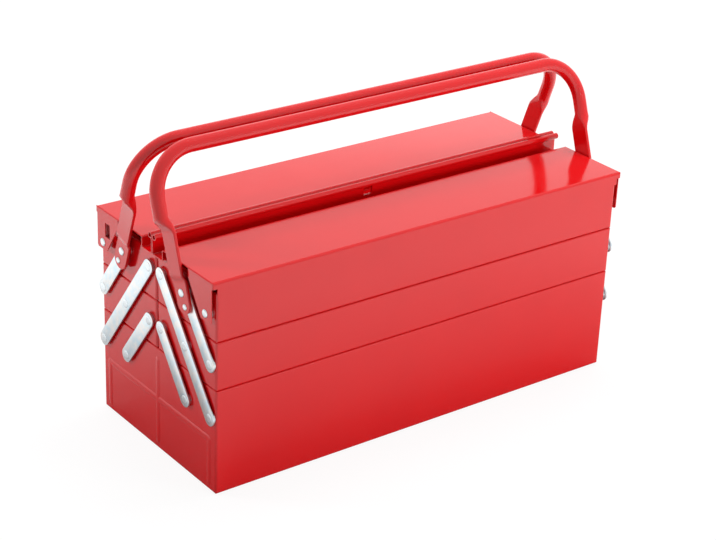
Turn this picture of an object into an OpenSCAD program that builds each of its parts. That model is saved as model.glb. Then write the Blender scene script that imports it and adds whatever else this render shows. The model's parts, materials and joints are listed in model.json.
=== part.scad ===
// Cantilever tool box: a deep base, two tiers of trays hung on steel straps, two lids and two handles.
// Millimetres, +Z up, X along the handles, origin at the centre of the underside of the base.
// Every piece is drawn for the back right quarter and mirrored to its own end and side.

/* [Body] */
// Length of the base and the trays along X, over the end walls
body_len = 470; // [380:5:600]
// Depth of the base along Y, over the front and back walls
body_depth = 198; // [194:2:260]
// Height of the base box
base_h = 105.5; // [85:0.5:150]
// Height of each tray
tray_h = 48; // [42:0.5:70]
// Gap between a front tray and the back tray beside it
tray_gap = 1.5; // [1:0.1:4]
// Thickness of the sheet steel
sheet_t = 0.9; // [0.7:0.1:1.3]
// Outside radius of the folds in the sheet
fold_r = 2.4; // [1.8:0.1:4]
// Outside radius of the folds around the rims
rim_r = 1.5; // [1:0.1:2]
// Width of the lip turned in around each rim
lip_w = 5; // [3:0.5:8]

/* [End ribs] */
// Width of the half-round ribs pressed into the end walls of the base
rib_w = 7; // [5:0.5:9]
// Height of those ribs
rib_h = 0.8; // [0.5:0.1:1]
// Distance from the underside of the base to the lower ends of the ribs
rib_low = 9; // [7:0.5:12]
// Height of the level rib
rib_level = 53; // [40:1:56]
// Distance from the front and back walls to the outer upright ribs
rib_edge = 11.5; // [9:0.5:20]
// Distance from the rim of the base to the top of the middle upright rib
rib_drop = 12; // [10:1:30]

/* [Linkage] */
// Distance from the front or back wall to the outermost pins
pin_edge = 6.5; // [6.5:0.5:10]
// Distance from the middle of the box to the innermost pins
pin_inner = 10.5; // [8:0.5:14]
// Height of the pins above the floor of the lower tray
pin_h = 25.5; // [16:0.5:30]
// Rise of each link over the height of one tray
link_over = 6; // [0:0.5:10]
// Radius of the pins
pin_r = 3; // [2.5:0.1:3.5]
// Radial running clearance between a pin and its hole
pin_fit = 0.05; // [0.02:0.01:0.1]
// Width of the straps, which have round ends
strap_w = 14.5; // [12:0.5:16]
// Thickness of the straps
strap_t = 1.8; // [1.5:0.1:2.5]
// Height of the shoulder that keeps a strap off the wall
shoulder_h = 1.5; // [1.3:0.1:2.5]
// Radius of that shoulder
shoulder_r = 6; // [5:0.5:6.5]
// Radius of the pin heads outside the walls
head_r = 5; // [4.2:0.1:5.5]
// Radius of the pin heads inside the walls
inner_head_r = 4.1; // [3.6:0.1:4.1]
// Thickness of the pin heads
head_t = 1.2; // [0.8:0.1:1.6]
// Side play of a strap or a lid on its pins
side_play = 0.05; // [0.03:0.01:0.15]

/* [Lids] */
// Height of a lid's flat top above the rim of the upper tray
lid_rise = 11.5; // [11:0.5:16]
// Depth of the skirt along a lid's long outer edge
skirt_h = 12.5; // [10:0.5:18]
// Gap between that skirt and the tray wall
skirt_gap = 0.3; // [0.2:0.05:0.8]
// Overhang of a lid past each end wall
lid_over = 4.9; // [4.6:0.1:8]
// Gap between the two lids at the middle
lid_gap = 1; // [0.6:0.1:3]
// Width of the sunk gutter along a lid's inner edge
gutter_w = 16.7; // [12:0.1:24]
// Gap under that gutter, over the rim of the tray
lid_seat = 0.25; // [0.1:0.05:0.5]
// Height of the upright edge above the lid's flat top
upstand = 9.5; // [8:0.5:14]
// Diameter of the bead rolled along the upright edge
bead_d = 6; // [4:0.5:7]
// Width of the padlock hole through the upright edges
lock_w = 10; // [7:0.5:14]
// Height of the padlock hole
lock_h = 9; // [7:0.5:11]
// Distance from the bead to the padlock hole
lock_drop = 0.5; // [0.2:0.1:2]
// Lowest point of the ears at the ends of a lid, below its flat top
ear_drop = 40; // [38:1:46]
// Distance from the body's long wall to the inner edge of an ear
ear_len = 39; // [34:1:44]
// Height of the upright part of an ear's inner edge
ear_neck = 8; // [6:1:14]
// Half width of the ear's foot, measured inwards from the lid pivot
ear_foot = 7; // [6:0.5:9]
// Gap left at the corner between an ear and the long wall's face
ear_slit = 1.2; // [0.8:0.1:3]
// Depth of the closed corner between the skirt and an ear
corner_h = 6; // [4:0.5:8]
// Distance from the body's long wall to the lid pivot
lid_pin_edge = 11; // [10:0.5:14]
// Depth of the lid pivot below the rim of the upper tray
lid_pin_drop = 21.5; // [18:0.5:22]
// Width of the slot in one ear of each lid
slot_w = 8.5; // [6:0.5:9]
// Height of that slot
slot_h = 14; // [10:0.5:15]
// Distance from the lid pivot to the middle of the slot, inwards and upwards
slot_shift = [8.5, 14];

/* [Handles] */
// Diameter of the handle tube
tube_d = 13.5; // [12:0.5:16]
// Height of the grip above the pivot of the handle
handle_rise = 118.5; // [110:0.5:140]
// Distance between the middles of the two grips with the box closed
grip_gap = 20.6; // [18:0.2:30]
// Radius of the bends, at the middle of the tube
bend_r = 42; // [30:1:50]
// Thickness of the flattened ends
flat_t = 3; // [2.6:0.1:3.4]
// Width of the flattened ends
flat_w = 20.5; // [18:0.5:22]
// Length of the flattened end above the pivot
flat_up = 54; // [44:1:60]
// Length of the flattened end below the pivot
flat_down = 19.5; // [18:0.5:21]
// Length over which the flattened end becomes round
flat_taper = 16; // [8:1:18]
// Distance above the pivot at which the flattened end steps outwards
step_up = 10; // [9.5:0.5:10.5]
// Length of that step
step_len = 6; // [5:0.5:6.5]
// Gap between a lid's end and the handle
handle_gap = 1.2; // [0.8:0.1:2]
// Radius of the rivet that fixes the handle to its strap
fix_r = 2; // [1.6:0.1:2.4]
// Radius of that rivet's heads
fix_head_r = 3.6; // [3:0.1:4]
// Thickness of that rivet's head behind the strap
fix_head_t = 0.8; // [0.6:0.1:0.9]
// Distance from the pivot to that rivet
fix_dist = 13; // [12:0.5:14]

/* [Hidden] */
$fn = 32;

LEFT = -1;
RIGHT = 1;
FRONT = -1;
BACK = 1;
RED = [0.80, 0.06, 0.10];
ZINC = [0.78, 0.82, 0.85];
// Overlap of cutters past the faces they cut
cut = 1;
// Thickness of the slices between which a blend is drawn
thin = 0.1;

half_len = body_len / 2;
half_depth = body_depth / 2;
tray_depth = half_depth - tray_gap / 2;
rim_z = base_h + 2 * tray_h;
lid_z = rim_z + lid_rise;

// Pins: column 0 is the outermost, level 0 is on the base, 1 on the lower tray, 2 on the upper tray.
// Distance along Y between one pin and the next
pin_pitch = (half_depth - pin_edge - pin_inner) / 2;
link_rise = tray_h + link_over;
link_len = sqrt(pin_pitch * pin_pitch + link_rise * link_rise);
link_lean = atan(pin_pitch / link_rise);
function pin_y(column) = half_depth - pin_edge - column * pin_pitch;
function pin_z(level) = base_h + pin_h - link_rise + level * link_rise;
hole_r = pin_r + pin_fit;
// Radius of the ribs' crowns, from their width and height
rib_r = (rib_w * rib_w / 4 + rib_h * rib_h) / (2 * rib_h);

// Layers outboard of the end walls
strap_in = shoulder_h + side_play;
strap_out = strap_in + strap_t;
lid_end = half_len + lid_over;
lid_pin_y = half_depth - lid_pin_edge;
lid_pin_z = rim_z - lid_pin_drop;
lid_outer_y = half_depth + skirt_gap + sheet_t;
lid_inner_y = lid_gap / 2;
gutter_z = rim_z + lid_seat + sheet_t;
bead_r = bead_d / 2;
bead_z = lid_z + upstand - bead_r;
lock_z = bead_z - bead_r - lock_drop - lock_h;

// Handle, in its own leaning plane: height 0 is at the pivot
tube_r = tube_d / 2;
grip_y = grip_gap / 2;
handle_lean = atan((pin_y(1) - grip_y) / handle_rise);
handle_reach = handle_rise / cos(handle_lean);
flat_x = lid_end + handle_gap;
leg_x = flat_x + tube_r;
tube_from = flat_up + flat_taper;
fix_angle = (link_lean + handle_lean) / 2;

// A profile drawn in Y and Z, drawn out along X about the middle
module along_x(length) {
  rotate([90, 0, 90]) linear_extrude(length, center = true) children();
}

// A profile drawn in X and Z, drawn out along Y about the middle
module along_y(length) {
  rotate([90, 0, 0]) linear_extrude(length, center = true) children();
}

// Mirrors a piece of the back right quarter to its own end and side
module at(end, side) {
  mirror([end < 0 ? 1 : 0, 0, 0]) mirror([0, side < 0 ? 1 : 0, 0]) children();
}

module both_ends() {
  children();
  mirror([1, 0, 0]) children();
}

// Stands on the outer face of the right end wall, with local Z pointing outboard
module on_wall(y, z) {
  translate([half_len, y, z]) rotate([0, 90, 0]) children();
}

module round_rect(w, d, r) {
  square([w - 2 * r, d], center = true);
  square([w, d - 2 * r], center = true);
  for (x = [-1, 1], y = [-1, 1]) translate([x * (w / 2 - r), y * (d / 2 - r)]) circle(r);
}

// Upright section of a pan, with its round lower corners, and round upper ones if top_r is over 0
module pan_section(w, h, low_r, top_r) {
  translate([-w / 2, low_r]) square([w, h - low_r - top_r]);
  translate([-w / 2 + low_r, 0]) square([w - 2 * low_r, low_r + cut]);
  for (x = [-1, 1]) translate([x * (w / 2 - low_r), low_r]) circle(low_r);
  if (top_r > 0) {
    translate([-w / 2 + top_r, h - top_r - cut]) square([w - 2 * top_r, top_r + cut]);
    for (x = [-1, 1]) translate([x * (w / 2 - top_r), h - top_r]) circle(top_r);
  }
}

// Solid block with the folds of a pan along all its edges
module pan_block(length, depth, h, r, top_r) {
  intersection() {
    linear_extrude(h) round_rect(length, depth, r);
    along_x(length + 2 * cut) pan_section(depth, h, r, top_r);
    along_y(depth + 2 * cut) pan_section(length, h, r, top_r);
  }
}

// Folded sheet pan with a lip turned in around the rim
module pan(length, depth, h) {
  t = sheet_t;
  difference() {
    pan_block(length, depth, h, fold_r, rim_r);
    translate([0, 0, t]) pan_block(length - 2 * t, depth - 2 * t, h - 2 * t, fold_r - t, 0);
    translate([0, 0, h - 2 * t]) linear_extrude(2 * t + cut)
      round_rect(length - 2 * lip_w, depth - 2 * lip_w, fold_r);
  }
}

// Pin hole through an end wall
module wall_hole(y, z) {
  on_wall(y, z) translate([0, 0, -sheet_t - cut]) cylinder(r = hole_r, h = sheet_t + 2 * cut);
}

// Riveted pin: a head inside the wall, a shoulder outside it, and a head over what turns on it
module wall_pin(y, z, shoulder, head_from) {
  on_wall(y, z) {
    translate([0, 0, -sheet_t - head_t]) cylinder(r = inner_head_r, h = head_t);
    translate([0, 0, -sheet_t - head_t / 2]) cylinder(r = pin_r, h = sheet_t + head_from + head_t);
    cylinder(r = shoulder_r, h = shoulder);
    translate([0, 0, head_from]) cylinder(r = head_r, h = head_t / 2);
    translate([0, 0, head_from + head_t / 2]) cylinder(r1 = head_r, r2 = head_r * 0.7, h = head_t / 2);
  }
}

module strap_pin(column, level) {
  wall_pin(pin_y(column), pin_z(level), shoulder_h, strap_out + side_play);
}

// The ribs of one end wall as round bars, deep enough in the wall that only their crowns stand proud
module rib_bars(r) {
  outer = half_depth - rib_edge;
  middle_top = base_h - rib_drop;
  translate([half_len + rib_h - rib_r, 0, 0]) {
    translate([0, 0, rib_low]) cylinder(r = r, h = middle_top - rib_low);
    for (y = [-outer, outer]) translate([0, y, rib_low]) cylinder(r = r, h = rib_level - rib_low);
    translate([0, outer, rib_level]) rotate([90, 0, 0]) cylinder(r = r, h = 2 * outer);
    translate([0, 0, middle_top]) sphere(r);
    for (y = [-outer, 0, outer]) translate([0, y, rib_low]) sphere(r);
    for (y = [-outer, outer]) translate([0, y, rib_level]) sphere(r);
  }
}

module rib_crowns() {
  intersection() {
    rib_bars(rib_r);
    translate([half_len - sheet_t / 2, -half_depth, 0]) cube([sheet_t / 2 + rib_h + cut, body_depth, base_h]);
  }
}

module rib_grooves() {
  intersection() {
    rib_bars(rib_r - sheet_t);
    translate([half_len - sheet_t - cut, -half_depth, 0]) cube([sheet_t + cut + rib_h, body_depth, base_h]);
  }
}

module base_box() {
  color(RED) difference() {
    union() {
      pan(body_len, body_depth, base_h);
      both_ends() rib_crowns();
    }
    both_ends() {
      rib_grooves();
      for (side = [FRONT, BACK], column = [0, 1]) at(RIGHT, side) wall_hole(pin_y(column), pin_z(0));
    }
  }
}

module base_pins() {
  color(ZINC) both_ends() for (side = [FRONT, BACK], column = [0, 1]) at(RIGHT, side) strap_pin(column, 0);
}

module tray(floor_z, columns, level) {
  color(RED) difference() {
    translate([0, tray_gap / 2 + tray_depth / 2, floor_z]) pan(body_len, tray_depth, tray_h);
    both_ends() for (column = columns) wall_hole(pin_y(column), pin_z(level));
    if (level == 2) both_ends() wall_hole(lid_pin_y, lid_pin_z);
  }
}

module lower_tray(side) {
  at(RIGHT, side) tray(base_h, [0, 1, 2], 1);
}

module lower_tray_pins(side) {
  color(ZINC) at(RIGHT, side) both_ends() for (column = [0, 1, 2]) strap_pin(column, 1);
}

module upper_tray(side) {
  at(RIGHT, side) tray(base_h + tray_h, [1, 2], 2);
}

// The middle pin also passes through the handle's flattened end
module upper_tray_pins(side) {
  color(ZINC) at(RIGHT, side) both_ends() {
    strap_pin(2, 2);
    wall_pin(pin_y(1), pin_z(2), shoulder_h, strap_out + flat_t + side_play);
  }
}

module lid_pins(side) {
  color(ZINC) at(RIGHT, side) both_ends()
    wall_pin(lid_pin_y, lid_pin_z, lid_over - sheet_t - side_play, lid_over + side_play);
}

// Straps lie along local X from their lowest pin, with one hole for each pin
module strap_outline(links) {
  difference() {
    union() {
      translate([0, -strap_w / 2]) square([links * link_len, strap_w]);
      for (end = [0, links]) translate([end * link_len, 0]) circle(strap_w / 2);
    }
    for (pin = [0:links]) translate([pin * link_len, 0]) circle(hole_r);
  }
}

module strap(end, side, column, level, links) {
  color(ZINC) at(end, side) translate([half_len + strap_in, pin_y(column), pin_z(level)])
    rotate([90, 0, 90]) linear_extrude(strap_t) rotate(90 + link_lean) strap_outline(links);
}

module long_strap(end, side) {
  strap(end, side, 0, 0, 2);
}

module lower_strap(end, side) {
  strap(end, side, 1, 0, 1);
}

// Place of the rivet that holds the handle to the upper strap, in the strap's and the handle's common part
module at_fixing() {
  on_wall(pin_y(1) + fix_dist * sin(fix_angle), pin_z(2) - fix_dist * cos(fix_angle)) children();
}

module upper_strap(end, side) {
  color(ZINC) difference() {
    strap(end, side, 0, 1, 1);
    at(end, side) at_fixing() translate([0, 0, strap_in - cut])
      cylinder(r = fix_r + pin_fit, h = strap_t + 2 * cut);
  }
}

// Outer outline of the lid's skirt, flat top, gutter and upright edge, in Y and Z
module lid_outline(grow) {
  low = lid_z - ear_drop;
  high = lid_z + 2 * upstand;
  offset(delta = grow) offset(r = -fold_r / 2) offset(delta = fold_r / 2)
    offset(r = fold_r) offset(delta = -fold_r)
      polygon([
        [-gutter_w, low], [lid_outer_y, low], [lid_outer_y, lid_z], [lid_inner_y + gutter_w, lid_z],
        [lid_inner_y + gutter_w, gutter_z], [lid_inner_y + sheet_t, gutter_z],
        [lid_inner_y + sheet_t, high], [-gutter_w, high]
      ]);
}

// Section of the lid: the sheet under that outline, with the bead rolled along the upright edge
module lid_section() {
  intersection() {
    difference() {
      lid_outline(0);
      lid_outline(-sheet_t);
    }
    union() {
      translate([lid_inner_y, gutter_z - sheet_t])
        square([lid_outer_y - lid_inner_y, bead_z - gutter_z + sheet_t]);
      translate([lid_outer_y - fold_r, lid_z - skirt_h]) square([fold_r, skirt_h]);
    }
  }
  translate([lid_inner_y + bead_r, bead_z]) difference() {
    circle(bead_r);
    circle(bead_r - sheet_t);
  }
}

// Ear at the end of a lid that carries its pivot, in Y and Z
module ear_outline() {
  outer = half_depth - ear_slit;
  inner = half_depth - ear_len;
  foot = lid_z - ear_drop;
  difference() {
    union() {
      offset(r = fold_r) offset(delta = -fold_r) polygon([
        [inner, lid_z + fold_r], [outer, lid_z + fold_r], [outer, foot],
        [lid_pin_y - ear_foot, foot], [inner, lid_z - ear_neck]
      ]);
      translate([inner + fold_r, lid_z - corner_h]) square([lid_outer_y - inner - fold_r, corner_h]);
    }
    translate([inner - cut, lid_z]) square([ear_len + 2 * cut, fold_r + cut]);
  }
}

// Space within the folds along a lid's ends: the gutter and the upright edge keep square ends
module lid_space() {
  r = fold_r / 2;
  along_y(2 * lid_outer_y + cut) {
    translate([-lid_end, lid_z - ear_drop]) square([2 * lid_end, ear_drop - r]);
    translate([-lid_end + r, lid_z - 2 * r]) square([2 * (lid_end - r), 2 * r]);
    for (x = [-1, 1]) translate([x * (lid_end - r), lid_z - r]) circle(r);
  }
  translate([-lid_end, 0, gutter_z - sheet_t]) cube([2 * lid_end, gutter_w - fold_r, lid_z + upstand]);
}

module lid_body() {
  intersection() {
    union() {
      along_x(2 * (lid_end + cut)) lid_section();
      both_ends() translate([lid_end - sheet_t, 0, 0])
        rotate([90, 0, 90]) linear_extrude(sheet_t + cut) ear_outline();
    }
    lid_space();
    // Folds at the lid's outer corners
    linear_extrude(lid_z + upstand) round_rect(2 * lid_end, 2 * lid_outer_y, fold_r / 2);
  }
}

module lid(side) {
  // The two lids are one stamping, turned half a turn, so the slot is at opposite ends
  color(RED) rotate([0, 0, side < 0 ? 180 : 0]) difference() {
    lid_body();
    both_ends() {
      // The skirt stops at the end walls, except for its closed corners
      translate([half_len, half_depth - ear_slit / 2, lid_z - skirt_h - cut])
        cube([lid_over + cut, lid_outer_y - half_depth + ear_slit, skirt_h + cut - corner_h]);
      on_wall(lid_pin_y, lid_pin_z)
        translate([0, 0, lid_over - sheet_t - cut]) cylinder(r = hole_r, h = sheet_t + 2 * cut);
    }
    translate([-lock_w / 2, 0, lock_z]) cube([lock_w, lid_inner_y + sheet_t + cut, lock_h]);
    mirror([1, 0, 0]) on_wall(lid_pin_y - slot_shift[0], lid_pin_z + slot_shift[1])
      translate([-slot_h / 2, -slot_w / 2, lid_over - sheet_t - cut]) cube([slot_h, slot_w, sheet_t + 2 * cut]);
  }
}

// Side view of a flattened end, in X and height above the pivot: it lies on the strap, then steps outwards
module flat_side() {
  near = half_len + strap_out;
  polygon([
    [near, -flat_down], [near, step_up], [flat_x, step_up + step_len], [flat_x, flat_up],
    [flat_x + flat_t, flat_up], [flat_x + flat_t, step_up + step_len - flat_t / 4],
    [near + flat_t, step_up - flat_t / 4], [near + flat_t, -flat_down]
  ]);
}

// Front view of a flattened end
module flat_front() {
  translate([-flat_w / 2, flat_w / 2 - flat_down]) square([flat_w, flat_up + flat_down - flat_w / 2]);
  translate([0, flat_w / 2 - flat_down]) circle(flat_w / 2);
}

// One leg with its flattened end and its bend, in the handle's own plane
module leg() {
  intersection() {
    along_y(flat_w + 2 * cut) flat_side();
    translate([half_len, 0, 0]) rotate([90, 0, 90]) linear_extrude(leg_x - half_len) flat_front();
  }
  hull() {
    translate([flat_x, -flat_w / 2, flat_up]) cube([flat_t, flat_w, thin]);
    translate([leg_x, 0, tube_from]) cylinder(r = tube_r + thin / 2, h = thin);
  }
  translate([leg_x, 0, tube_from + thin / 2])
    cylinder(r = tube_r, h = handle_reach - bend_r - tube_from - thin / 2);
  translate([leg_x - bend_r, 0, handle_reach - bend_r]) rotate([90, 0, 0])
    rotate_extrude(angle = 90) translate([bend_r, 0]) circle(tube_r);
}

module handle(side) {
  color(RED) at(RIGHT, side) difference() {
    translate([0, pin_y(1), pin_z(2)]) rotate([handle_lean, 0, 0]) {
      both_ends() leg();
      translate([0, 0, handle_reach]) rotate([0, -90, 0])
        cylinder(r = tube_r, h = 2 * (leg_x - bend_r), center = true);
    }
    both_ends() {
      on_wall(pin_y(1), pin_z(2)) translate([0, 0, strap_out - cut])
        cylinder(r = hole_r, h = flat_t + 2 * cut);
      at_fixing() translate([0, 0, strap_out - cut]) cylinder(r = fix_r + pin_fit, h = flat_t + 2 * cut);
    }
  }
}

module handle_rivets(side) {
  color(ZINC) at(RIGHT, side) both_ends() at_fixing() {
    translate([0, 0, strap_in - fix_head_t]) cylinder(r = fix_head_r, h = fix_head_t);
    translate([0, 0, strap_in - fix_head_t / 2]) cylinder(r = fix_r, h = strap_t + flat_t + fix_head_t);
    translate([0, 0, strap_out + flat_t]) cylinder(r1 = fix_head_r, r2 = fix_head_r * 0.7, h = head_t);
  }
}

base_box();
base_pins();
lower_tray(FRONT);  // front_lower_tray
lower_tray(BACK);  // back_lower_tray
lower_tray_pins(FRONT);  // front_lower_tray_pins
lower_tray_pins(BACK);  // back_lower_tray_pins
upper_tray(FRONT);  // front_upper_tray
upper_tray(BACK);  // back_upper_tray
upper_tray_pins(FRONT);  // front_upper_tray_pins
upper_tray_pins(BACK);  // back_upper_tray_pins
lid(FRONT);  // front_lid
lid(BACK);  // back_lid
lid_pins(FRONT);  // front_lid_pins
lid_pins(BACK);  // back_lid_pins
long_strap(LEFT, FRONT);  // front_long_strap_left
long_strap(RIGHT, FRONT);  // front_long_strap_right
long_strap(LEFT, BACK);  // back_long_strap_left
long_strap(RIGHT, BACK);  // back_long_strap_right
lower_strap(LEFT, FRONT);  // front_lower_strap_left
lower_strap(RIGHT, FRONT);  // front_lower_strap_right
lower_strap(LEFT, BACK);  // back_lower_strap_left
lower_strap(RIGHT, BACK);  // back_lower_strap_right
upper_strap(LEFT, FRONT);  // front_upper_strap_left
upper_strap(RIGHT, FRONT);  // front_upper_strap_right
upper_strap(LEFT, BACK);  // back_upper_strap_left
upper_strap(RIGHT, BACK);  // back_upper_strap_right
handle(FRONT);  // front_handle
handle(BACK);  // back_handle
handle_rivets(FRONT);  // front_handle_rivets
handle_rivets(BACK);  // back_handle_rivets
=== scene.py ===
"""Red cantilever tool box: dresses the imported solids, adds links, rivets and handles, and sets the studio."""

import json
import math

import bpy
from bpy.props import FloatProperty, FloatVectorProperty, IntProperty, PointerProperty, StringProperty
from mathutils import Matrix, Vector


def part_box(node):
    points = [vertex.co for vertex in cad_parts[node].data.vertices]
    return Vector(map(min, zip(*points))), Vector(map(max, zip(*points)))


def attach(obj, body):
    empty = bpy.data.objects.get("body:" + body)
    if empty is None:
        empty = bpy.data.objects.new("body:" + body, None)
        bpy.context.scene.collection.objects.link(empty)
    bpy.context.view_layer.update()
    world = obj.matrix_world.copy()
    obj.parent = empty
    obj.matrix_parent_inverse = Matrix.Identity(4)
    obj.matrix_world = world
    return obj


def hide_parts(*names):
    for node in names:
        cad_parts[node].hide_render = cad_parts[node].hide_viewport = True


bl_info = {
    "name": "Cantilever tool box",
    "version": (1, 0, 0),
    "blender": (4, 5, 0),
    "location": "View3D > Sidebar > Tool box",
    "description": "Finishes, links, rivets and handles of a sheet-steel cantilever tool box",
    "category": "Object",
}

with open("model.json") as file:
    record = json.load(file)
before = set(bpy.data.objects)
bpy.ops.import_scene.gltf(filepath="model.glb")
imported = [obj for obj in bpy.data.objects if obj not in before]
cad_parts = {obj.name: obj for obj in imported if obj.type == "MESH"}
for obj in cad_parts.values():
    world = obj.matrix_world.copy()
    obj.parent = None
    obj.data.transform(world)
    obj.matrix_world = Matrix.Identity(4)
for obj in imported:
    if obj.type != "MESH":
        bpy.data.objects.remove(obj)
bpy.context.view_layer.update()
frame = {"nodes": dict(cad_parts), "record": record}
SIDES = ("front", "back")
ENDS = ("left", "right")
# Distance from the middle of the box to the outer face of an end wall
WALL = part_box("front_upper_tray")[1].x
PIVOTS = {joint["name"]: Vector(joint["pos_m"]) for joint in frame["record"]["behaviour"]["joints"]}
# Pin places of one end, as distance from the middle and height, read from the joints of the back half
LOW_OUTER = PIVOTS["back_fold"].yz
LOW_INNER = PIVOTS["back_low_link_left_swing"].yz
MID_OUTER = PIVOTS["back_carrier_swing"].yz
MID_INNER = PIVOTS["back_lower_tier_level"].yz
TOP_INNER = PIVOTS["back_upper_tier_level"].yz
MID_LAST = Vector((TOP_INNER.x, MID_INNER.y))
TOP_OUTER = Vector((MID_INNER.x, TOP_INNER.y))
LID_PIN = PIVOTS["back_lid_swing"].yz

# Tolerances: places that count as one, and points that count as lying on a face
SAME_PLACE = 1e-6
ON_FACE = 1e-7

# Play between pieces that turn on each other, and rounding of the collars' edges
PLAY = 0.00005
COLLAR_EDGE = 0.0003
# Set heads, from the seat outwards: share of the height, and share of the radius
DOME = ((0.0, 1.0), (0.32, 0.99), (0.62, 0.9), (0.85, 0.72), (0.97, 0.5), (1.0, 0.3))
# Heads on the inner side of a wall or a handle: metres past the seat, which are minus, and share of the radius
INNER_HEAD = ((-0.0012, 0.55), (-0.0010, 0.85), (-0.0005, 1.0), (0.0, 1.0))
FIXING_HEAD = ((-0.0008, 0.6), (-0.0005, 0.95), (0.0, 1.0))

STRAP_SIDES = 40
TUBE_SIDES = 40
GRIP_STEPS = 4
BEND_STEPS = 20
# Past this distance from the middle of the box, a point at the height of a ring belongs to the handle's leg
LEG_FROM = 0.1
# Shares of the run from tube to flat that get a ring of points
TAPER_SHARES = (0.12, 0.28, 0.45, 0.62, 0.8, 1.0)
# The step's two bends: height past the end of the step, and share of the step that is behind it there
STEP_BENDS = ((0.0015, 0.0), (-0.0006, 0.06), (-0.0018, 0.26))
# Shares of the radius of the round foot that get a ring of points
FOOT_SHARES = (0.0, 0.26, 0.5, 0.7, 0.84, 0.93, 0.98)
# A ring of the flat is this many times as thick before its two faces are pressed in
FLAT_SPREAD = 3.4
# Width and depth of the softened edge at the tip of the foot
TIP_INSET, TIP_DEPTH = 0.0004, 0.0002

FLOOR_SIDE = 14
# Half the length and half the depth of the box's foot, in round figures, from which the floor's painted shade
# near the box is measured
FOOT_HALF = (0.25, 0.1, 0.0)
# Lamps: name, place, the spot that each faces, width and height, watts, and whether a gloss mirrors it. The
# photographed enamel mirrors only the one behind the box, so the others are hidden from it.
LAMPS = (
    ("low_softbox", (0.8, -1.5, 0.45), (0.15, 0, 0.1), (0.7, 0.5), 15.0, False),
    ("overhead_softbox", (0.2, 0.4, 2.0), (0, 0, 0.15), (1.2, 0.9), 13.5, False),
    ("right_overhead_softbox", (0.7, 0.0, 1.6), (0.1, 0, 0.15), (0.9, 0.9), 11.0, False),
    ("high_rear_softbox", (0.0, 1.3, 2.0), (0, 0, 0.15), (1.6, 0.8), 4.8, False),
    ("left_rear_softbox", (-1.5, 1.3, 1.1), (-0.2, 0, 0.15), (0.5, 0.5), 16.5, False),
    ("rear_softbox", (1.3, 2.0, 0.85), (0, 0, 0.213), (3.2, 0.5), 3.5, True),
)


# ---------------------------------------------------------------- sizes and colours a user would change


class BoxSizes(bpy.types.PropertyGroup):
    """Sizes of the pieces that are modelled here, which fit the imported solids"""

    strap_width: FloatProperty(
        name="Strap width", description="Width of the round-ended links", default=0.0145, unit="LENGTH"
    )
    strap_inner: FloatProperty(
        name="Strap stand-off", description="From the end wall to the links", default=0.00155, unit="LENGTH"
    )
    strap_thickness: FloatProperty(
        name="Strap thickness", description="Thickness of the links", default=0.0018, unit="LENGTH"
    )
    strap_edge: FloatProperty(
        name="Strap edge", description="Rounding of the links' edges", default=0.00035, unit="LENGTH"
    )
    head_radius: FloatProperty(
        name="Rivet head radius", description="Radius of the domed heads", default=0.0040, unit="LENGTH"
    )
    head_height: FloatProperty(
        name="Rivet head height", description="Height of the domed heads", default=0.0012, unit="LENGTH"
    )
    flush_radius: FloatProperty(
        name="Low head radius", description="Radius of the links' low heads", default=0.0044, unit="LENGTH"
    )
    flush_height: FloatProperty(
        name="Low head height", description="Height of the links' low heads", default=0.00045, unit="LENGTH"
    )
    inner_radius: FloatProperty(
        name="Inner head radius", description="Radius of heads inside the walls", default=0.0041, unit="LENGTH"
    )
    shank_radius: FloatProperty(
        name="Shank radius", description="Radius of the pins' shanks", default=0.003, unit="LENGTH"
    )
    shoulder_radius: FloatProperty(
        name="Collar radius", description="Radius of the collars under the links", default=0.006, unit="LENGTH"
    )
    sheet: FloatProperty(
        name="Sheet thickness", description="Thickness of the sheet steel", default=0.0009, unit="LENGTH"
    )
    lid_overhang: FloatProperty(
        name="Lid overhang", description="Overhang past the end walls", default=0.0049, unit="LENGTH"
    )
    tube_radius: FloatProperty(
        name="Tube radius", description="Radius of the handle tube", default=0.00675, unit="LENGTH"
    )
    bend_radius: FloatProperty(
        name="Bend radius", description="Radius of the handle's bends", default=0.042, unit="LENGTH"
    )
    grip_height: FloatProperty(
        name="Grip height", description="Height of the grips' middles", default=0.3035, unit="LENGTH"
    )
    grip_offset: FloatProperty(
        name="Grip offset", description="From the middle to a grip's middle", default=0.0103, unit="LENGTH"
    )
    flat_width: FloatProperty(
        name="Flat width", description="Width of the handle's flattened ends", default=0.0205, unit="LENGTH"
    )
    flat_thickness: FloatProperty(
        name="Flat thickness", description="Thickness of the flattened ends", default=0.003, unit="LENGTH"
    )
    flat_gap: FloatProperty(
        name="Handle gap", description="From a lid's end to the handle", default=0.0012, unit="LENGTH"
    )
    flat_up: FloatProperty(
        name="Flat above pivot", description="Flattened length above the pivot", default=0.054, unit="LENGTH"
    )
    flat_down: FloatProperty(
        name="Flat below pivot", description="Flattened length below the pivot", default=0.0195, unit="LENGTH"
    )
    flat_taper: FloatProperty(
        name="Flat taper", description="Length over which the tube is flattened", default=0.016, unit="LENGTH"
    )
    step_up: FloatProperty(
        name="Step height", description="Where the flattened end steps outwards", default=0.010, unit="LENGTH"
    )
    step_length: FloatProperty(
        name="Step length", description="Length of that step", default=0.006, unit="LENGTH"
    )
    fix_distance: FloatProperty(
        name="Fixing distance", description="From the pivot to the fixing rivet", default=0.013, unit="LENGTH"
    )
    fix_radius: FloatProperty(
        name="Fixing head radius", description="Radius of that rivet's heads", default=0.0030, unit="LENGTH"
    )
    fix_shank: FloatProperty(
        name="Fixing shank radius", description="Radius of that rivet's shank", default=0.002, unit="LENGTH"
    )
    rivet_sides: IntProperty(
        name="Rivet sides", description="Number of flats round each rivet", default=28, min=16, max=48
    )


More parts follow.
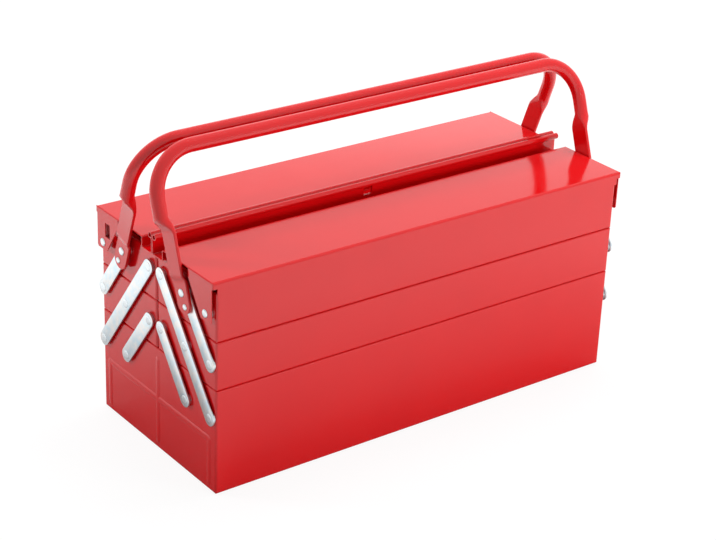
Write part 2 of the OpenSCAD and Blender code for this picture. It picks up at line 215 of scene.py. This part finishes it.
class BoxFinish(bpy.types.PropertyGroup):
    """Colours and finishes, as sRGB hex values"""

    enamel: StringProperty(name="Enamel", description="Colour of the stoved enamel", default="#D90D12")
    enamel_deep: StringProperty(name="Enamel, deep", description="Enamel that lies thicker", default="#D00910")
    zinc_cool: StringProperty(name="Zinc, cool", description="Bluish passivated zinc", default="#BCD1DB")
    zinc_warm: StringProperty(name="Zinc, warm", description="Warmer patches of the zinc", default="#DDD9D5")
    rivet: StringProperty(name="Rivet", description="Colour of the plated rivets", default="#D8DEE0")
    rivet_deep: StringProperty(name="Rivet, deep", description="Where the set dulled them", default="#C3CBCF")
    floor: StringProperty(name="Floor", description="Colour of the paper sweep", default="#E3E3E3")
    floor_deep: StringProperty(name="Floor, deep", description="Denser flocs in the paper", default="#DDDDDD")
    enamel_gloss: FloatProperty(
        name="Enamel roughness", description="Roughness of most of the enamel", default=0.11, subtype="FACTOR"
    )


class BoxStudio(bpy.types.PropertyGroup):
    """Camera and lights"""

    camera_place: FloatVectorProperty(
        name="Camera", description="Place of it", default=(-1.0410, -1.3420, 0.9262), subtype="TRANSLATION"
    )
    camera_yaw: FloatProperty(
        name="Camera yaw", description="Turn to the right", default=math.radians(37.614), unit="ROTATION"
    )
    camera_pitch: FloatProperty(
        name="Camera pitch", description="Tilt down", default=math.radians(25.236), unit="ROTATION"
    )
    camera_roll: FloatProperty(
        name="Camera roll", description="Turn about its own axis", default=math.radians(2.350), unit="ROTATION"
    )
    lens: FloatProperty(name="Lens", description="Focal length in millimetres", default=96.40)
    room: FloatProperty(name="Room light", description="Strength of the even light all round", default=0.34)


# ---------------------------------------------------------------- small helpers


def linear(hex_colour):
    """An sRGB hex value as linear red, green, blue and alpha."""
    parts = [int(hex_colour[i : i + 2], 16) / 255 for i in (1, 3, 5)]
    return tuple(c / 12.92 if c <= 0.04045 else ((c + 0.055) / 1.055) ** 2.4 for c in parts) + (1.0,)


def deselect():
    """Leaves nothing selected."""
    for thing in bpy.context.selected_objects:
        thing.select_set(False)


def take(piece):
    """Leaves that piece alone selected and active."""
    deselect()
    piece.select_set(True)
    bpy.context.view_layer.objects.active = piece


def pick(piece, test, kind="VERT"):
    """Selects the points or edges whose middle passes the test, of which there has to be one."""
    bpy.ops.object.mode_set(mode="OBJECT")
    mesh = piece.data
    points = mesh.vertices
    for group in (points, mesh.edges, mesh.polygons):
        group.foreach_set("select", [False] * len(group))
    if kind == "VERT":
        choice = [(point, point.co) for point in points]
    else:
        choice = [(e, (points[e.vertices[0]].co + points[e.vertices[1]].co) / 2) for e in mesh.edges]
    picked = [thing for thing, middle in choice if test(middle)]
    if not picked:
        raise RuntimeError(f"{piece.name}: nothing lies where the next step works")
    for thing in picked:
        thing.select = True
    bpy.ops.object.mode_set(mode="EDIT")
    bpy.ops.mesh.select_mode(type=kind)


def close(piece, angle):
    """Leaves edit mode with doubles merged and faces outwards, and shades the piece smooth up to that angle."""
    bpy.ops.object.mode_set(mode="EDIT")
    bpy.ops.mesh.select_mode(type="VERT")
    bpy.ops.mesh.select_all(action="SELECT")
    bpy.ops.mesh.remove_doubles(threshold=SAME_PLACE)
    bpy.ops.mesh.normals_make_consistent(inside=False)
    bpy.ops.object.mode_set(mode="OBJECT")
    take(piece)
    bpy.ops.object.shade_smooth_by_angle(angle=math.radians(angle))


def start_disc(name, radius, sides, middle, fill):
    """A new disc or ring that faces along X, open in edit mode with all of it selected."""
    deselect()
    bpy.ops.mesh.primitive_circle_add(
        vertices=sides,
        radius=radius,
        fill_type=fill,
        location=middle,
        rotation=(0, math.pi / 2, 0),
        enter_editmode=False,
    )
    piece = bpy.context.object
    piece.name = name
    piece.data.name = name
    bpy.ops.object.transform_apply(location=True, rotation=True, scale=True)
    bpy.ops.object.mode_set(mode="EDIT")
    bpy.ops.mesh.select_all(action="SELECT")
    return piece


def push(step):
    """Extrudes what is selected by one step."""
    bpy.ops.mesh.extrude_region_move(TRANSFORM_OT_translate={"value": step})


def copy_of(piece, name):
    """A copy with its own mesh."""
    twin = piece.copy()
    twin.data = piece.data.copy()
    twin.name = name
    twin.data.name = name
    bpy.context.collection.objects.link(twin)
    return twin


def place(piece, matrix):
    """Sets a piece at its place and leaves the place in its mesh."""
    piece.matrix_world = matrix
    take(piece)
    bpy.ops.object.transform_apply(location=True, rotation=True, scale=True)


def join(pieces, name):
    """Several pieces as one."""
    take(pieces[0])
    for piece in pieces[1:]:
        piece.select_set(True)
    if len(pieces) > 1:
        bpy.ops.object.join()
    pieces[0].name = name
    pieces[0].data.name = name
    return pieces[0]


def discard(piece):
    """Removes a pattern piece once its copies are made."""
    bpy.data.objects.remove(piece, do_unlink=True)


def at_end(end):
    """The turn that takes a piece of the right end to the given end: none, or half a turn about the upright."""
    return Matrix.Rotation(0.0 if end == "right" else math.pi, 4, "Z")


def on_wall(end, side, spot):
    """A place on the outer face of an end wall, where spot is the distance from the middle and the height."""
    return Vector((WALL if end == "right" else -WALL, spot.x if side == "back" else -spot.x, spot.y))


def dress(piece, body, nodes, material):
    """Gives a piece its finish, lets it ride on its body and stand for its nodes."""
    piece.data.materials.clear()
    piece.data.materials.append(material)
    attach(piece, body)
    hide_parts(*nodes)


# ---------------------------------------------------------------- materials


def add_node(tree, kind, links=None, **settings):
    """Adds a node: settings name its own fields, or its inputs where they start with in_."""
    made = tree.nodes.new(kind)
    for key, value in settings.items():
        if key.startswith("in_"):
            socket = key[3:].replace("_", " ")
            made.inputs[int(socket) if socket.isdigit() else socket].default_value = value
        else:
            setattr(made, key, value)
    for socket, source in (links or {}).items():
        tree.links.new(source, made.inputs[socket])
    return made


def new_material(name):
    """An empty material and its node tree."""
    made = bpy.data.materials.new(name)
    made.use_nodes = True
    made.node_tree.nodes.clear()
    return made, made.node_tree


def stoved_enamel():
    """Alkyd stoving enamel, sprayed on pressed sheet steel."""
    tones = bpy.context.scene.box_finish
    made, tree = new_material("stoved_enamel")
    # Sprayed enamel gives a wet gloss over a saturated red, and a faint long wave in its reflections.
    where = add_node(tree, "ShaderNodeTexCoord").outputs["Object"]
    # Film thickness wanders over about 60 mm, which shifts the red a little.
    film = add_node(
        tree, "ShaderNodeTexNoise", {"Vector": where}, in_Scale=16.0, in_Detail=2.0, in_Roughness=0.5
    ).outputs["Fac"]
    colour = add_node(
        tree,
        "ShaderNodeMix",
        {"Factor": film},
        data_type="RGBA",
        in_A=linear(tones.enamel_deep),
        in_B=linear(tones.enamel),
    ).outputs["Result"]
    # Orange peel: real waves are about 1.5 mm long, drawn at 3 mm so that they show.
    peel = add_node(
        tree, "ShaderNodeTexNoise", {"Vector": where}, in_Scale=330.0, in_Detail=1.5, in_Roughness=0.5
    ).outputs["Fac"]
    bump = add_node(
        tree, "ShaderNodeBump", {"Height": peel}, in_Strength=0.1, in_Distance=0.00004
    ).outputs["Normal"]
    # Wiped and handled gloss: patches of about 25 mm a little duller than the rest.
    wipe = add_node(
        tree, "ShaderNodeTexNoise", {"Vector": where}, in_Scale=40.0, in_Detail=3.0, in_Roughness=0.6
    ).outputs["Fac"]
    gloss = add_node(
        tree,
        "ShaderNodeMapRange",
        {"Value": wipe},
        in_3=tones.enamel_gloss - 0.03,
        in_4=tones.enamel_gloss + 0.05,
    ).outputs["Result"]
    shader = add_node(
        tree,
        "ShaderNodeBsdfPrincipled",
        {"Base Color": colour, "Roughness": gloss, "Normal": bump},
        in_IOR=1.5,
        in_Metallic=0.0,
    )
    add_node(tree, "ShaderNodeOutputMaterial", {"Surface": shader.outputs["BSDF"]})
    return made


def passivated_zinc():
    """Bright zinc plate with a clear blue passivate, on blanked steel strip."""
    tones = bpy.context.scene.box_finish
    made, tree = new_material("passivated_zinc")
    # Barrel plating leaves a satin metal with soft patches of cool and warm tint.
    where = add_node(tree, "ShaderNodeTexCoord").outputs["Object"]
    # Tint patches are about 8 mm across.
    tint = add_node(
        tree, "ShaderNodeTexNoise", {"Vector": where}, in_Scale=125.0, in_Detail=3.0, in_Roughness=0.6
    ).outputs["Fac"]
    patch = add_node(tree, "ShaderNodeMapRange", {"Value": tint}, in_1=0.33, in_2=0.67).outputs["Result"]
    colour = add_node(
        tree,
        "ShaderNodeMix",
        {"Factor": patch},
        data_type="RGBA",
        in_A=linear(tones.zinc_cool),
        in_B=linear(tones.zinc_warm),
    ).outputs["Result"]
    # The strip's rolling grain and tumbling marks, about 0.4 mm, drawn at 1 mm so that they show.
    grain = add_node(
        tree, "ShaderNodeTexNoise", {"Vector": where}, in_Scale=1000.0, in_Detail=2.0, in_Roughness=0.6
    ).outputs["Fac"]
    bump = add_node(
        tree, "ShaderNodeBump", {"Height": grain}, in_Strength=0.25, in_Distance=0.00005
    ).outputs["Normal"]
    # Warm patches are the duller ones.
    dull = add_node(tree, "ShaderNodeMapRange", {"Value": tint}, in_3=0.27, in_4=0.4).outputs["Result"]
    shader = add_node(
        tree,
        "ShaderNodeBsdfPrincipled",
        {"Base Color": colour, "Roughness": dull, "Normal": bump},
        in_Metallic=1.0,
    )
    add_node(tree, "ShaderNodeOutputMaterial", {"Surface": shader.outputs["BSDF"]})
    return made


def plated_rivet():
    """Bright plated steel rivets, their heads set by a spinning tool."""
    tones = bpy.context.scene.box_finish
    made, tree = new_material("plated_rivet")
    # A set head is smoother than the strip, with fine pits left by the tool.
    where = add_node(tree, "ShaderNodeTexCoord").outputs["Object"]
    # Pits are about 0.5 mm apart.
    pits = add_node(
        tree, "ShaderNodeTexNoise", {"Vector": where}, in_Scale=2000.0, in_Detail=1.0, in_Roughness=0.5
    ).outputs["Fac"]
    # The set bruises the plate in patches of about 2 mm.
    bruise = add_node(
        tree, "ShaderNodeTexNoise", {"Vector": where}, in_Scale=500.0, in_Detail=2.0, in_Roughness=0.5
    ).outputs["Fac"]
    colour = add_node(
        tree,
        "ShaderNodeMix",
        {"Factor": bruise},
        data_type="RGBA",
        in_A=linear(tones.rivet_deep),
        in_B=linear(tones.rivet),
    ).outputs["Result"]
    bump = add_node(
        tree, "ShaderNodeBump", {"Height": pits}, in_Strength=0.2, in_Distance=0.00002
    ).outputs["Normal"]
    shine = add_node(tree, "ShaderNodeMapRange", {"Value": pits}, in_3=0.2, in_4=0.32).outputs["Result"]
    shader = add_node(
        tree,
        "ShaderNodeBsdfPrincipled",
        {"Base Color": colour, "Roughness": shine, "Normal": bump},
        in_Metallic=1.0,
    )
    add_node(tree, "ShaderNodeOutputMaterial", {"Surface": shader.outputs["BSDF"]})
    return made


def seen_as_white(tree):
    """One for rays from the lens, from a gloss or through glass, which see a plain white room, else nought."""
    rays = add_node(tree, "ShaderNodeLightPath").outputs
    lens_or_gloss = add_node(
        tree, "ShaderNodeMath", {0: rays["Is Camera Ray"], 1: rays["Is Glossy Ray"]}, operation="MAXIMUM"
    ).outputs["Value"]
    return add_node(
        tree, "ShaderNodeMath", {0: lens_or_gloss, 1: rays["Is Transmission Ray"]}, operation="MAXIMUM"
    ).outputs["Value"]


def paper_sweep():
    """Uncoated matt paper on the studio floor."""
    tones = bpy.context.scene.box_finish
    made, tree = new_material("paper_sweep")
    # Uncoated paper scatters evenly. It meets the lens as white, with the box's own shadow kept on it and a
    # painted shade added near the box.
    where = add_node(tree, "ShaderNodeTexCoord").outputs["Object"]
    # Cloudy formation of the pulp: real flocs are about 5 mm, drawn at 20 mm so that they show.
    pulp = add_node(tree, "ShaderNodeTexNoise", {"Vector": where}, in_Scale=50.0, in_Detail=2.0).outputs["Fac"]
    tone = add_node(
        tree,
        "ShaderNodeMix",
        {"Factor": pulp},
        data_type="RGBA",
        in_A=linear(tones.floor_deep),
        in_B=linear(tones.floor),
    ).outputs["Result"]
    paper = add_node(tree, "ShaderNodeBsdfDiffuse", {"Color": tone}).outputs["BSDF"]
    # How far a spot lies from the foot of the box, which sets the painted shade on the floor
    away = add_node(tree, "ShaderNodeVectorMath", {0: where}, operation="ABSOLUTE").outputs["Vector"]
    for step, figures in (("SUBTRACT", FOOT_HALF), ("MAXIMUM", (0.0, 0.0, 0.0))):
        away = add_node(tree, "ShaderNodeVectorMath", {0: away}, operation=step, in_1=figures).outputs["Vector"]
    away = add_node(tree, "ShaderNodeVectorMath", {0: away}, operation="LENGTH").outputs["Value"]
    # The lens sees white with a little painted shade near the box, where the glow is turned down. A gloss sees
    # that painted shade deeper, which paints the walls' darker feet into their reflections: depth is what the
    # lamps add to it, and level is the white that glows by itself, dimmed near the box.
    lens_glow_painted_shade = add_node(
        tree, "ShaderNodeMapRange", {"Value": away}, in_1=0.3, in_2=1.3, in_3=0.9, in_4=1.0
    ).outputs["Result"]
    gloss_glow_painted_shade = add_node(
        tree, "ShaderNodeMapRange", {"Value": away}, in_1=0.03, in_2=0.3, in_3=0.0, in_4=0.95
    ).outputs["Result"]
    gloss = add_node(tree, "ShaderNodeLightPath").outputs["Is Glossy Ray"]
    depth = add_node(tree, "ShaderNodeMapRange", {"Value": gloss}, in_3=0.11, in_4=0.5).outputs["Result"]
    level = add_node(
        tree, "ShaderNodeMapRange", {"Value": gloss, "To Min": lens_glow_painted_shade, "To Max": gloss_glow_painted_shade}
    ).outputs["Result"]
    shaded = add_node(tree, "ShaderNodeBsdfDiffuse", {"Color": depth}).outputs["BSDF"]
    glow = add_node(
        tree, "ShaderNodeEmission", {"Strength": level}, in_Color=(1.0, 1.0, 1.0, 1.0)
    ).outputs["Emission"]
    white = add_node(tree, "ShaderNodeAddShader", {0: shaded, 1: glow}).outputs["Shader"]
    mix = add_node(tree, "ShaderNodeMixShader", {0: seen_as_white(tree), 1: paper, 2: white})
    add_node(tree, "ShaderNodeOutputMaterial", {"Surface": mix.outputs["Shader"]})
    return made


MAKERS = {
    "stoved_enamel": stoved_enamel,
    "passivated_zinc": passivated_zinc,
    "plated_rivet": plated_rivet,
    "paper_sweep": paper_sweep,
}


def finish(name):
    """The material of that name, made once."""
    return bpy.data.materials.get(name) or MAKERS[name]()


# ---------------------------------------------------------------- sheet metal


class BOX_OT_sheetwork(bpy.types.Operator):
    """Enamels the base, the trays and the lids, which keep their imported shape"""

    bl_idname = "toolbox.sheetwork"
    bl_label = "Enamel the sheet metal"

    def execute(self, context):
        names = ["base_box"]
        for side in SIDES:
            names += [f"{side}_lower_tray", f"{side}_upper_tray", f"{side}_lid"]
        for name in names:
            if name not in frame["nodes"]:
                raise RuntimeError(f"the packed model has no {name}")
            sheet = frame["nodes"][name].data
            sheet.materials.clear()
            sheet.materials.append(finish("stoved_enamel"))
        return {"FINISHED"}


# ---------------------------------------------------------------- links


def strap(name, length):
    """A link that stands upright on its lower pin, on the right end wall, with tumbled edges."""
    sizes = bpy.context.scene.box_sizes
    inner = WALL + sizes.strap_inner
    faces = (inner, inner + sizes.strap_thickness)
    piece = start_disc(name, sizes.strap_width / 2, STRAP_SIDES, (inner, 0, 0), "NGON")
    pick(piece, lambda p: p.z > SAME_PLACE)
    bpy.ops.transform.translate(value=(0, 0, length))
    bpy.ops.mesh.select_all(action="SELECT")
    push((sizes.strap_thickness, 0, 0))
    pick(piece, lambda p: min(abs(p.x - x) for x in faces) < SAME_PLACE, "EDGE")
    bpy.ops.mesh.bevel(offset=sizes.strap_edge, segments=3, affect="EDGES", profile=0.5)
    close(piece, 30)
    return piece


def link_place(end, side, low, high):
    """Where a link goes, from its lower and upper pin in the back half."""
    lean = math.atan2(high.x - low.x, high.y - low.y)
    # The turn to the left end also changes the side, so a link of the left end starts from the other side.
    sign = 1 if (side == "back") != (end == "left") else -1
    return at_end(end) @ Matrix.Translation((0, sign * low.x, low.y)) @ Matrix.Rotation(-sign * lean, 4, "X")


class BOX_OT_straps(bpy.types.Operator):
    """Models the twelve zinc-plated links"""

    bl_idname = "toolbox.straps"
    bl_label = "Model the links"

    def execute(self, context):
        short = (MID_INNER - LOW_OUTER).length
        patterns = {"long": strap("long_link", 2 * short), "short": strap("short_link", short)}
        for side in SIDES:
            for end in ENDS:
                main_link = f"{side}_main_link" if end == "left" else f"{side}_main_link_right"
                for kind, pattern, low, high, body in (
                    ("long_strap", "long", LOW_OUTER, TOP_INNER, main_link),
                    ("lower_strap", "short", LOW_INNER, MID_LAST, f"{side}_low_link_{end}"),
                    ("upper_strap", "short", MID_OUTER, TOP_OUTER, f"{side}_carrier"),
                ):
                    piece = copy_of(patterns[pattern], f"{side}_{kind}_{end}_link")
                    place(piece, link_place(end, side, low, high))
                    dress(piece, body, [f"{side}_{kind}_{end}"], finish("passivated_zinc"))
        for pattern in patterns.values():
            discard(pattern)
        return {"FINISHED"}


# ---------------------------------------------------------------- rivets


def turned(name, profile, sides):
    """A turned piece along X: profile gives distance along X and radius, from the inner end."""
    here, size = profile[0]
    piece = start_disc(name, size, sides, (here, 0, 0), "NGON")
    for along, radius in profile[1:]:
        push((along - here, 0, 0))
        if radius != size:
            scale = radius / size
            bpy.ops.transform.resize(value=(1, scale, scale), center_override=(along, 0, 0))
        here, size = along, radius
    close(piece, 40)
    return piece


def head(seat, height, radius, shape):
    """Profile of a head: shape gives each ring's distance from the seat, in heights, and share of the radius."""
    return [(seat + height * off, radius * share) for off, share in shape]


def pin_profile(collar, seat, outer_radius, outer_height):
    """Profile of a riveted pin: the head inside the wall, the collar on it, the shank and the outer head."""
    sizes = bpy.context.scene.box_sizes
    shank, shoulder = sizes.shank_radius, sizes.shoulder_radius
    return (
        head(-sizes.sheet, 1, sizes.inner_radius, INNER_HEAD)
        + [
            (-sizes.sheet, shank),
            (0.0, shank),
            (0.0, shoulder - COLLAR_EDGE),
            (COLLAR_EDGE, shoulder),
            (collar - COLLAR_EDGE, shoulder),
            (collar, shoulder - COLLAR_EDGE),
            (collar, shank),
            (seat, shank),
        ]
        + head(seat, outer_height, outer_radius, DOME)
    )


class BOX_OT_rivets(bpy.types.Operator):
    """Models the riveted pins of the linkage, the lids and the handles"""

    bl_idname = "toolbox.rivets"
    bl_label = "Model the rivets"

    def execute(self, context):
        sizes = context.scene.box_sizes
        sides = sizes.rivet_sides
        radius, height = sizes.head_radius, sizes.head_height
        collar = sizes.strap_inner - PLAY
        strap_out = sizes.strap_inner + sizes.strap_thickness
        handle_out = strap_out + sizes.flat_thickness
        link = turned("link_pin", pin_profile(collar, strap_out, sizes.flush_radius, sizes.flush_height), sides)
        hand = turned("handle_pin", pin_profile(collar, handle_out + PLAY, radius, height), sides)
        lid_collar = sizes.lid_overhang - sizes.sheet - PLAY
        lid = turned("lid_pin", pin_profile(lid_collar, sizes.lid_overhang + PLAY, radius, height), sides)
        fixing = turned(
            "fixing_rivet",
            head(sizes.strap_inner, 1, sizes.fix_radius, FIXING_HEAD)
            + [(sizes.strap_inner, sizes.fix_shank), (handle_out, sizes.fix_shank)]
            + head(handle_out, height, sizes.fix_radius, DOME),
            sides,
        )
        # The fixing rivet sits halfway between the lines of the link and the handle, so that both cover it.
        lean = (math.atan2(LOW_OUTER.x - MID_INNER.x, MID_INNER.y - LOW_OUTER.y) + handle_lean()) / 2
        fix = TOP_OUTER + sizes.fix_distance * Vector((math.sin(lean), -math.cos(lean)))
        groups = [("base_pins", "base", SIDES, ((link, LOW_OUTER), (link, LOW_INNER)))]
        for side in SIDES:
            lower_spots = ((link, MID_OUTER), (link, MID_INNER), (link, MID_LAST))
            upper_spots = ((link, TOP_INNER), (hand, TOP_OUTER))
            groups += [
                (f"{side}_lower_tray_pins", f"{side}_lower_tier", (side,), lower_spots),
                (f"{side}_upper_tray_pins", f"{side}_upper_tier", (side,), upper_spots),
                (f"{side}_lid_pins", f"{side}_upper_tier", (side,), ((lid, LID_PIN),)),
                (f"{side}_handle_rivets", f"{side}_carrier", (side,), ((fixing, fix),)),
            ]
        for node, body, its_sides, spots in groups:
            made = []
            for side in its_sides:
                for end in ENDS:
                    for pattern, spot in spots:
                        rivet = copy_of(pattern, node)
                        place(rivet, Matrix.Translation(on_wall(end, side, spot)) @ at_end(end))
                        made.append(rivet)
            dress(join(made, f"{node}_set"), body, [node], finish("plated_rivet"))
        for pattern in (link, hand, lid, fixing):
            discard(pattern)
        return {"FINISHED"}


# ---------------------------------------------------------------- handles


def handle_lean():
    """Lean of the handles from upright, towards the middle of the box."""
    sizes = bpy.context.scene.box_sizes
    return math.atan2(TOP_OUTER.x - sizes.grip_offset, sizes.grip_height - TOP_OUTER.y)


def flat_rings(sizes, start):
    """Rings of a handle's flattened end from the top: height, middle in X, width, thickness and spread."""
    tube = 2 * sizes.tube_radius
    thin = sizes.flat_thickness
    flat_x = WALL + sizes.lid_overhang + sizes.flat_gap
    rings = []
    for share in TAPER_SHARES:
        eased = share * share * (3 - 2 * share)
        thick = tube + (thin - tube) * eased
        wide = tube + (sizes.flat_width - tube) * eased
        spread = 1 + (FLAT_SPREAD - 1) * eased
        rings.append((start - sizes.flat_taper * share, flat_x + thick / 2, wide, thick, spread))
    upper = flat_x + thin / 2
    lower = WALL + sizes.strap_inner + sizes.strap_thickness + thin / 2
    top, foot = sizes.step_up + sizes.step_length, sizes.step_up
    bends = [(top + past, upper - share * (upper - lower)) for past, share in STEP_BENDS]
    bends.append(((top + foot) / 2, (upper + lower) / 2))
    bends += [(foot - past, lower + share * (upper - lower)) for past, share in reversed(STEP_BENDS)]
    rings += [(height, middle, sizes.flat_width, thin, FLAT_SPREAD) for height, middle in bends]
    radius = sizes.flat_width / 2
    for share in FOOT_SHARES:
        height = radius - sizes.flat_down - radius * share
        rings.append((height, lower, 2 * radius * math.sqrt(1 - share * share), thin, FLAT_SPREAD))
    return rings


def handle_half(name):
    """Half a handle in its own upright plane, with its pivot at height 0: grip, bend, leg and flattened end."""
    sizes = bpy.context.scene.box_sizes
    radius = sizes.tube_radius
    reach = (sizes.grip_height - TOP_OUTER.y) / math.cos(handle_lean())
    leg_x = WALL + sizes.lid_overhang + sizes.flat_gap + radius
    bend_x, bend_z = leg_x - sizes.bend_radius, reach - sizes.bend_radius
    piece = start_disc(name, radius, TUBE_SIDES, (0, 0, reach), "NOTHING")
    for _ in range(GRIP_STEPS):
        push((bend_x / GRIP_STEPS, 0, 0))
    bpy.ops.mesh.spin(steps=BEND_STEPS, angle=math.radians(90), center=(bend_x, 0, bend_z), axis=(0, -1, 0))
    start = sizes.flat_up + sizes.flat_taper
    here = bend_z
    for height in ((bend_z + start) / 2, start):
        push((0, 0, height - here))
        here = height
    x_was, wide_was, thick_was, spread_was = leg_x, 2 * radius, 2 * radius, 1.0
    for height, middle, wide, thick, spread in flat_rings(sizes, start):
        push((middle - x_was, 0, height - here))
        grow = (spread * thick) / (spread_was * thick_was)
        bpy.ops.transform.resize(value=(grow, wide / wide_was, 1), center_override=(middle, 0, height))
        # What has grown past the two faces of the flat is pressed back onto them.
        for sign in (1, -1):
            face = middle + sign * thick / 2
            pick(piece, lambda p: on_ring(p, height) and (p.x - face) * sign > -ON_FACE)
            bpy.ops.transform.resize(value=(0, 1, 1), center_override=(face, 0, height))
        pick(piece, lambda p: on_ring(p, height))
        x_was, wide_was, thick_was, spread_was, here = middle, wide, thick, spread, height
    bpy.ops.mesh.edge_face_add()
    bpy.ops.mesh.inset(thickness=TIP_INSET, depth=TIP_DEPTH)
    close(piece, 60)
    return piece


def on_ring(point, height):
    """Whether a point of a handle belongs to its leg's ring at that height."""
    return abs(point.z - height) < SAME_PLACE and point.x > LEG_FROM


class BOX_OT_handles(bpy.types.Operator):
    """Models the two tubular carrying handles"""

    bl_idname = "toolbox.handles"
    bl_label = "Model the handles"

    def execute(self, context):
        pattern = handle_half("handle_pattern")
        mirror = pattern.modifiers.new("other half", "MIRROR")
        mirror.use_axis = (True, False, False)
        mirror.use_clip = True
        mirror.merge_threshold = 1e-5
        take(pattern)
        bpy.ops.object.modifier_apply(modifier=mirror.name)
        close(pattern, 60)
        for side, sign in (("front", -1), ("back", 1)):
            piece = copy_of(pattern, f"{side}_handle_tube")
            turn = Matrix.Rotation(sign * handle_lean(), 4, "X")
            place(piece, Matrix.Translation((0, sign * TOP_OUTER.x, TOP_OUTER.y)) @ turn)
            dress(piece, f"{side}_carrier", [f"{side}_handle"], finish("stoved_enamel"))
        discard(pattern)
        return {"FINISHED"}


# ---------------------------------------------------------------- studio


def softbox(name, spot, target, size, watts, mirrored):
    """A rectangular lamp that the lens doesn't see."""
    lamp = bpy.data.lights.new(name, "AREA")
    lamp.shape = "RECTANGLE"
    lamp.size, lamp.size_y = size
    lamp.energy = watts
    made = bpy.data.objects.new(name, lamp)
    bpy.context.collection.objects.link(made)
    made.location = spot
    made.rotation_euler = (Vector(target) - Vector(spot)).to_track_quat("-Z", "Y").to_euler()
    made.visible_camera = False
    made.visible_glossy = mirrored


class BOX_OT_stage(bpy.types.Operator):
    """Lays the white floor and sets the lights and the camera"""

    bl_idname = "toolbox.stage"
    bl_label = "Set the studio"

    def execute(self, context):
        studio = context.scene.box_studio
        deselect()
        bpy.ops.mesh.primitive_plane_add(size=FLOOR_SIDE, location=(0, 0, 0))
        floor = context.object
        floor.name = "studio_floor"
        floor.data.materials.append(finish("paper_sweep"))
        world = bpy.data.worlds.new("even_room")
        world.use_nodes = True
        context.scene.world = world
        tree = world.node_tree
        back = tree.nodes["Background"]
        back.inputs["Color"].default_value = (1.0, 1.0, 1.0, 1.0)
        strength = add_node(
            tree, "ShaderNodeMapRange", {"Value": seen_as_white(tree)}, in_3=studio.room, in_4=1.0
        ).outputs["Result"]
        tree.links.new(strength, back.inputs["Strength"])
        for lamp in LAMPS:
            softbox(*lamp)
        camera = bpy.data.cameras.new("photo_camera")
        camera.sensor_fit = "HORIZONTAL"
        camera.sensor_width = 36.0
        camera.lens = studio.lens
        camera.clip_end = 50
        eye = bpy.data.objects.new("photo_camera", camera)
        context.collection.objects.link(eye)
        turn = (
            Matrix.Rotation(-studio.camera_yaw, 4, "Z")
            @ Matrix.Rotation(math.pi / 2 - studio.camera_pitch, 4, "X")
            @ Matrix.Rotation(studio.camera_roll, 4, "Z")
        )
        eye.matrix_world = Matrix.Translation(studio.camera_place) @ turn
        context.scene.camera = eye
        context.scene.view_settings.view_transform = "Standard"
        return {"FINISHED"}


# ---------------------------------------------------------------- add-on


STEPS = ("sheetwork", "straps", "rivets", "handles", "stage")


class BOX_PT_panel(bpy.types.Panel):
    """Lists the steps in the order in which they are run"""

    bl_idname = "BOX_PT_panel"
    bl_label = "Cantilever tool box"
    bl_space_type = "VIEW_3D"
    bl_region_type = "UI"
    bl_category = "Tool box"

    def draw(self, context):
        column = self.layout.column()
        for step in STEPS:
            column.operator(f"toolbox.{step}")


CLASSES = (
    BoxSizes,
    BoxFinish,
    BoxStudio,
    BOX_OT_sheetwork,
    BOX_OT_straps,
    BOX_OT_rivets,
    BOX_OT_handles,
    BOX_OT_stage,
    BOX_PT_panel,
)


def register():
    """Adds the classes and the settings."""
    for made in CLASSES:
        bpy.utils.register_class(made)
    bpy.types.Scene.box_sizes = PointerProperty(type=BoxSizes)
    bpy.types.Scene.box_finish = PointerProperty(type=BoxFinish)
    bpy.types.Scene.box_studio = PointerProperty(type=BoxStudio)


def unregister():
    """Removes them again."""
    del bpy.types.Scene.box_studio
    del bpy.types.Scene.box_finish
    del bpy.types.Scene.box_sizes
    for made in reversed(CLASSES):
        bpy.utils.unregister_class(made)


def main():
    """Runs every step."""
    register()
    for step in STEPS:
        if getattr(bpy.ops.toolbox, step)() != {"FINISHED"}:
            raise RuntimeError(f"toolbox.{step} didn't finish")


if __name__ == "__main__":
    main()
